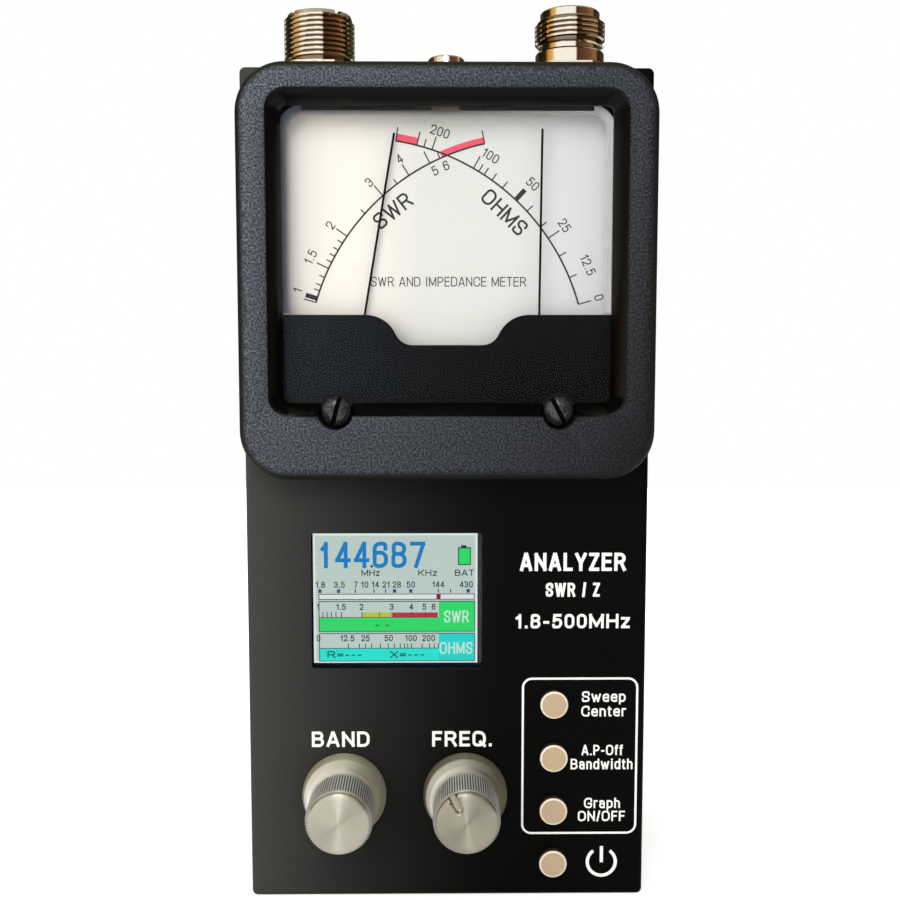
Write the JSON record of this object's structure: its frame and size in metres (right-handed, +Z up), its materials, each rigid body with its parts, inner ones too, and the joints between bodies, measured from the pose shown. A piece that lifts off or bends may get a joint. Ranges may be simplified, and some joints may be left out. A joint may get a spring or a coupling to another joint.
{
  "type": "antenna analyzer",
  "caption": "Handheld antenna analyzer with a cross-needle meter, a small colour display, push buttons, knurled knobs, coaxial sockets and a power jack.",
  "frame": {"origin": "centre of the case's flat bottom, on which it stands upright", "axes": "+Z up towards the sockets, -Y out of the front panel, +X to the right as seen by the user"},
  "size_m": [0.085, 0.0665, 0.1944],
  "materials": {
    "case_paint": "satin black paint on sheet aluminium",
    "bezel_plastic": "grained black phenolic",
    "clear_pane": "clear polished acrylic",
    "display_pane": "dark polished acrylic",
    "black_steel": "blackened steel",
    "meter_plastic": "dark moulded plastic",
    "dial_white": "matt white enamel with printed scales",
    "pointer_black": "black lacquer on aluminium",
    "copper_coil": "lacquered copper wire",
    "movement_brass": "turned brass",
    "magnet_iron": "ground magnet alloy",
    "zinc_steel": "zinc-plated steel",
    "display_glass": "dark display glass",
    "white_plastic": "white moulded plastic",
    "button_beige": "satin champagne lacquer on moulded plastic",
    "knob_aluminium": "turned champagne anodised aluminium",
    "socket_nickel": "bright nickel plate on brass",
    "contact_gold": "gold-plated brass",
    "board_green": "green solder mask on glass-epoxy board",
    "black_plastic": "black moulded plastic",
    "cell_jacket": "plain printed steel jacket"
  },
  "bodies": {
    "case": {"front_case": "case_paint", "rear_cover": "case_paint", "case_screws": "black_steel", "meter_bezel": "bezel_plastic", "meter_window": "clear_pane", "meter_screws": "black_steel", "meter_case": "meter_plastic", "meter_mask": "meter_plastic", "meter_dial": "dial_white", "meter_magnets": "magnet_iron", "meter_yokes": "zinc_steel", "meter_bridges": "movement_brass", "meter_bearings": "movement_brass", "meter_studs": "movement_brass", "stud_spacers": "zinc_steel", "stud_nuts": "zinc_steel", "lcd_window": "display_pane", "lcd_frame": "zinc_steel", "lcd_glass": "display_glass", "lcd_backlight": "white_plastic", "tact_switches": "black_plastic", "rotary_encoders": "zinc_steel", "encoder_washers": "zinc_steel", "encoder_nuts": "zinc_steel", "uhf_shell": "socket_nickel", "uhf_insulator": "white_plastic", "uhf_contact": "contact_gold", "n_shell": "socket_nickel", "n_insulator": "white_plastic", "n_contact": "contact_gold", "socket_washers": "socket_nickel", "socket_nuts": "socket_nickel", "dc_jack_shell": "socket_nickel", "dc_jack_base": "black_plastic", "dc_jack_pin": "socket_nickel", "dc_jack_nut": "socket_nickel", "control_board": "board_green", "control_standoffs": "zinc_steel", "control_screws": "zinc_steel", "rf_board": "board_green", "shield_can": "zinc_steel", "battery_holder": "black_plastic", "batteries": "cell_jacket", "battery_contacts": "zinc_steel"},
    "band_dial": {"band_knob": "knob_aluminium", "band_shaft": "zinc_steel", "band_set_screw": "black_steel"},
    "freq_dial": {"freq_knob": "knob_aluminium", "freq_shaft": "zinc_steel", "freq_set_screw": "black_steel"},
    "sweep_key": {"sweep_button": "button_beige"},
    "bandwidth_key": {"bandwidth_button": "button_beige"},
    "graph_key": {"graph_button": "button_beige"},
    "power_key": {"power_button": "button_beige"},
    "swr_pointer": {"swr_needle": "pointer_black", "swr_coil": "copper_coil", "swr_hairspring": "movement_brass"},
    "ohms_pointer": {"ohms_needle": "pointer_black", "ohms_coil": "copper_coil", "ohms_hairspring": "movement_brass"}
  },
  "joints": [
    {"name": "band_turn", "type": "hinge", "parent": "case", "child": "band_dial", "pos_m": [-0.0221, -0.025, 0.0232], "axis": [0, -1, 0], "continuous": true},
    {"name": "freq_turn", "type": "hinge", "parent": "case", "child": "freq_dial", "pos_m": [0.00385, -0.025, 0.0232], "axis": [0, -1, 0], "continuous": true},
    {"name": "sweep_press", "type": "slide", "parent": "case", "child": "sweep_key", "axis": [0, 1, 0], "range_m": [0, 0.0003], "stiffness_N_per_m": 400},
    {"name": "bandwidth_press", "type": "slide", "parent": "case", "child": "bandwidth_key", "axis": [0, 1, 0], "range_m": [0, 0.0003], "stiffness_N_per_m": 400},
    {"name": "graph_press", "type": "slide", "parent": "case", "child": "graph_key", "axis": [0, 1, 0], "range_m": [0, 0.0003], "stiffness_N_per_m": 400},
    {"name": "power_press", "type": "slide", "parent": "case", "child": "power_key", "axis": [0, 1, 0], "range_m": [0, 0.0003], "stiffness_N_per_m": 400},
    {"name": "ohms_swing", "type": "hinge", "parent": "case", "child": "ohms_pointer", "pos_m": [-0.019, -0.025, 0.115], "axis": [0, 1, 0], "range_deg": [0, 65.6], "stiffness_Nm_per_rad": 0.00005},
    {"name": "swr_swing", "type": "hinge", "parent": "case", "child": "swr_pointer", "pos_m": [0.019, -0.025, 0.115], "axis": [0, -1, 0], "range_deg": [0, 75.8], "stiffness_Nm_per_rad": 0.00005}
  ]
}
